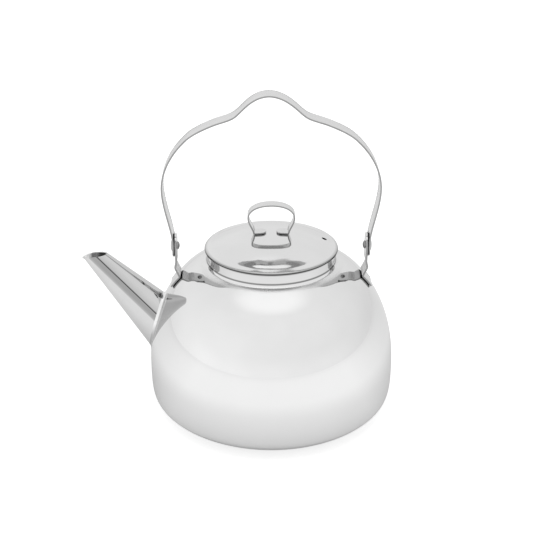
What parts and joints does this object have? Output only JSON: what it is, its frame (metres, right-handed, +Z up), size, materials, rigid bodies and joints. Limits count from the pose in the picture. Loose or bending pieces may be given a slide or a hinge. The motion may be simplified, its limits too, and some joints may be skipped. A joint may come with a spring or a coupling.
{
  "type": "coffee kettle",
  "caption": "Polished steel kettle with a round belly, a slanted conical spout, a lift-off domed lid with a strip knob, and a strip bail that swings on riveted ears.",
  "frame": {"origin": "centre of the base's flat underside, on the kettle's own axis", "axes": "+Z up along the kettle's axis, -X towards the spout, the rivets' line along X, the bail upright at rest"},
  "size_m": [0.1892, 0.1502, 0.2009],
  "materials": {
    "pot_steel": "mirror-polished stainless steel",
    "spout_steel": "mirror-polished stainless steel",
    "fitting_steel": "polished stainless strip",
    "rivet_steel": "polished",
    "bail_steel": "polished stainless strip with rolled edges",
    "lid_steel": "mirror-polished stainless steel",
    "ring_steel": "plain rolled sheet",
    "knob_steel": "polished stainless strip"
  },
  "bodies": {
    "kettle": {"pot_body": "pot_steel", "spout": "spout_steel", "ear_left": "fitting_steel", "ear_right": "fitting_steel", "rivet_left": "rivet_steel", "rivet_right": "rivet_steel"},
    "bail": {"bail_handle": "bail_steel"},
    "lid": {"lid_cover": "lid_steel", "lid_ring": "ring_steel", "lid_knob": "knob_steel"}
  },
  "joints": [
    {"name": "bail_swing", "type": "hinge", "parent": "kettle", "child": "bail", "pos_m": [0, 0, 0.10665], "axis": [1, 0, 0], "range_deg": [-118, 118]},
    {"name": "lid_lift", "type": "slide", "parent": "kettle", "child": "lid", "axis": [0, 0, 1], "range_m": [0, 0.04]}
  ]
}
